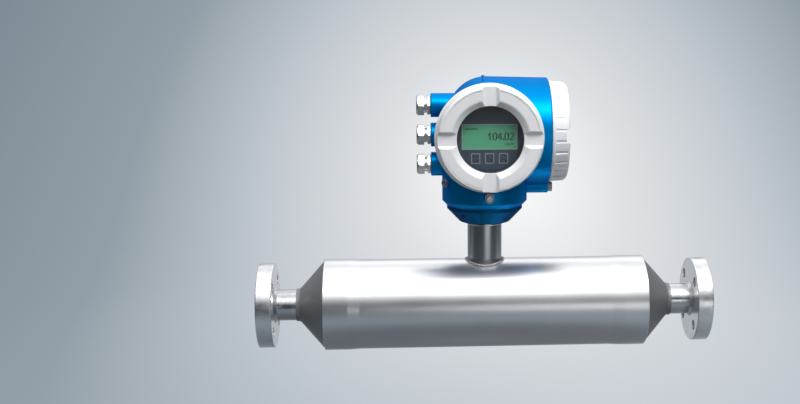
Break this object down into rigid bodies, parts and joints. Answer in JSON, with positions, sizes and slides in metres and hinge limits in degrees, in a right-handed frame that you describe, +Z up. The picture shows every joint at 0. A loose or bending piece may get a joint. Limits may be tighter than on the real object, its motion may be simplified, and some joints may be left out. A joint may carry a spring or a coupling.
{
  "type": "coriolis flow meter",
  "caption": "Inline Coriolis mass flow meter: straight steel sensor case between two pipe flanges, with a round blue field transmitter, display and cable glands on a neck.",
  "frame": {"origin": "centre of the flow axis, half-way between the two flange faces", "axes": "+X along the pipe towards the outlet, +Z up the neck, the display faces -Y"},
  "size_m": [0.62, 0.1915, 0.3737],
  "materials": {
    "flange_steel": "turned satin",
    "pipe_steel": "drawn satin",
    "case_steel": "satin polished",
    "cone_casting": "matt dark grey",
    "inner_steel": "machined",
    "neck_steel": "polished",
    "magnet": "nickel plated",
    "coil_plastic": "moulded",
    "blue_coating": "satin metallic blue powder coat on die-cast aluminium",
    "grey_coating": "light silver-grey powder coat on die-cast aluminium",
    "zinc_steel": "zinc plated",
    "clamp_steel": "cast stainless, blasted",
    "nickel_brass": "nickel plated brass",
    "seal_rubber": "moulded",
    "washer_fibre": "fibre washer",
    "window_glass": "toughened float glass",
    "slate_plastic": "dark slate front foil",
    "lcd_panel": "green liquid crystal panel",
    "grey_plastic": "moulded",
    "terminal_plastic": "moulded",
    "sealing_glass": "fused glass and pins"
  },
  "bodies": {
    "sensor": {"inlet_flange": "flange_steel", "outlet_flange": "flange_steel", "inlet_pipe": "pipe_steel", "outlet_pipe": "pipe_steel", "inlet_cone": "cone_casting", "outlet_cone": "cone_casting", "inlet_bulkhead": "inner_steel", "outlet_bulkhead": "inner_steel", "measuring_tube": "inner_steel", "sensor_case": "case_steel", "carrier_tube": "inner_steel", "drive_coil": "coil_plastic", "inlet_pickoff_coil": "coil_plastic", "outlet_pickoff_coil": "coil_plastic", "drive_magnet": "magnet", "inlet_pickoff_magnet": "magnet", "outlet_pickoff_magnet": "magnet", "magnet_clamps": "inner_steel", "balance_weight": "inner_steel", "tube_temperature_probe": "inner_steel", "case_temperature_probe": "inner_steel", "neck_tube": "neck_steel", "neck_ring": "pipe_steel", "feedthrough": "sealing_glass", "transmitter_holder": "blue_coating", "holder_screw": "zinc_steel"},
    "transmitter": {"transmitter_housing": "blue_coating", "electronics_module": "grey_plastic", "display_carrier": "grey_plastic", "terminal_block": "terminal_plastic", "terminal_screws": "zinc_steel", "upper_gland": "nickel_brass", "middle_gland": "nickel_brass", "lower_gland": "nickel_brass", "gland_washers": "washer_fibre", "front_clamp_screw": "zinc_steel", "side_clamp_screw": "zinc_steel", "earth_clamp": "zinc_steel", "earth_screw": "zinc_steel"},
    "display_module": {"display_module": "slate_plastic", "display_lcd": "lcd_panel"},
    "display_cover_seal": {"display_cover_ring": "seal_rubber"},
    "display_cover": {"display_cover": "grey_coating", "window_glass": "window_glass", "window_retainer": "zinc_steel"},
    "connection_cover_seal": {"connection_cover_ring": "seal_rubber"},
    "connection_cover": {"connection_cover": "grey_coating"},
    "front_clamp": {"front_clamp": "clamp_steel"},
    "side_clamp": {"side_clamp": "clamp_steel"},
    "upper_gland_seal": {"upper_gland_seal": "seal_rubber"},
    "upper_gland_nut": {"upper_gland_nut": "nickel_brass"},
    "middle_gland_seal": {"middle_gland_seal": "seal_rubber"},
    "middle_gland_nut": {"middle_gland_nut": "nickel_brass"},
    "lower_gland_seal": {"lower_gland_seal": "seal_rubber"},
    "lower_gland_nut": {"lower_gland_nut": "nickel_brass"}
  },
  "joints": [
    {"name": "transmitter_turn", "type": "hinge", "parent": "sensor", "child": "transmitter", "pos_m": [0, 0, 0.13], "axis": [0, 0, 1], "range_deg": [-175, 175]},
    {"name": "display_module_turn", "type": "hinge", "parent": "transmitter", "child": "display_module", "pos_m": [0.0028, -0.05, 0.234], "axis": [0, -1, 0], "range_deg": [-180, 180]},
    {"name": "display_cover_travel", "type": "slide", "parent": "transmitter", "child": "display_cover_seal", "axis": [0, -1, 0], "range_m": [0, 0.01005]},
    {"name": "display_cover_turn", "type": "hinge", "parent": "display_cover_seal", "child": "display_cover", "pos_m": [0.0028, -0.07, 0.234], "axis": [0, -1, 0], "range_deg": [0, 1800]},
    {"name": "connection_cover_travel", "type": "slide", "parent": "transmitter", "child": "connection_cover_seal", "axis": [1, 0, 0], "range_m": [0, 0.01005]},
    {"name": "connection_cover_turn", "type": "hinge", "parent": "connection_cover_seal", "child": "connection_cover", "pos_m": [0.1, 0.028, 0.234], "axis": [1, 0, 0], "range_deg": [0, 1800]},
    {"name": "front_clamp_turn", "type": "hinge", "parent": "transmitter", "child": "front_clamp", "pos_m": [0.0028, -0.06, 0.1542], "axis": [0, -1, 0], "range_deg": [-90, 90]},
    {"name": "side_clamp_turn", "type": "hinge", "parent": "transmitter", "child": "side_clamp", "pos_m": [0.09, 0.028, 0.156], "axis": [1, 0, 0], "range_deg": [-90, 90]},
    {"name": "upper_gland_travel", "type": "slide", "parent": "transmitter", "child": "upper_gland_seal", "axis": [-1, 0, 0], "range_m": [0, 0.0045]},
    {"name": "upper_gland_turn", "type": "hinge", "parent": "upper_gland_seal", "child": "upper_gland_nut", "pos_m": [-0.085, 0.01, 0.2722], "axis": [-1, 0, 0], "range_deg": [0, 1082]},
    {"name": "middle_gland_travel", "type": "slide", "parent": "transmitter", "child": "middle_gland_seal", "axis": [-1, 0, 0], "range_m": [0, 0.0045]},
    {"name": "middle_gland_turn", "type": "hinge", "parent": "middle_gland_seal", "child": "middle_gland_nut", "pos_m": [-0.085, 0.01, 0.2322], "axis": [-1, 0, 0], "range_deg": [0, 1082]},
    {"name": "lower_gland_travel", "type": "slide", "parent": "transmitter", "child": "lower_gland_seal", "axis": [-1, 0, 0], "range_m": [0, 0.0045]},
    {"name": "lower_gland_turn", "type": "hinge", "parent": "lower_gland_seal", "child": "lower_gland_nut", "pos_m": [-0.085, 0.01, 0.1922], "axis": [-1, 0, 0], "range_deg": [0, 1082]}
  ],
  "couplings": [
    {"joint": "display_cover_travel", "follows": "display_cover_turn", "m_per_rad": 0.00031831},
    {"joint": "connection_cover_travel", "follows": "connection_cover_turn", "m_per_rad": 0.00031831},
    {"joint": "upper_gland_turn", "follows": "upper_gland_travel", "rad_per_m": 4188.8},
    {"joint": "middle_gland_turn", "follows": "middle_gland_travel", "rad_per_m": 4188.8},
    {"joint": "lower_gland_turn", "follows": "lower_gland_travel", "rad_per_m": 4188.8}
  ]
}
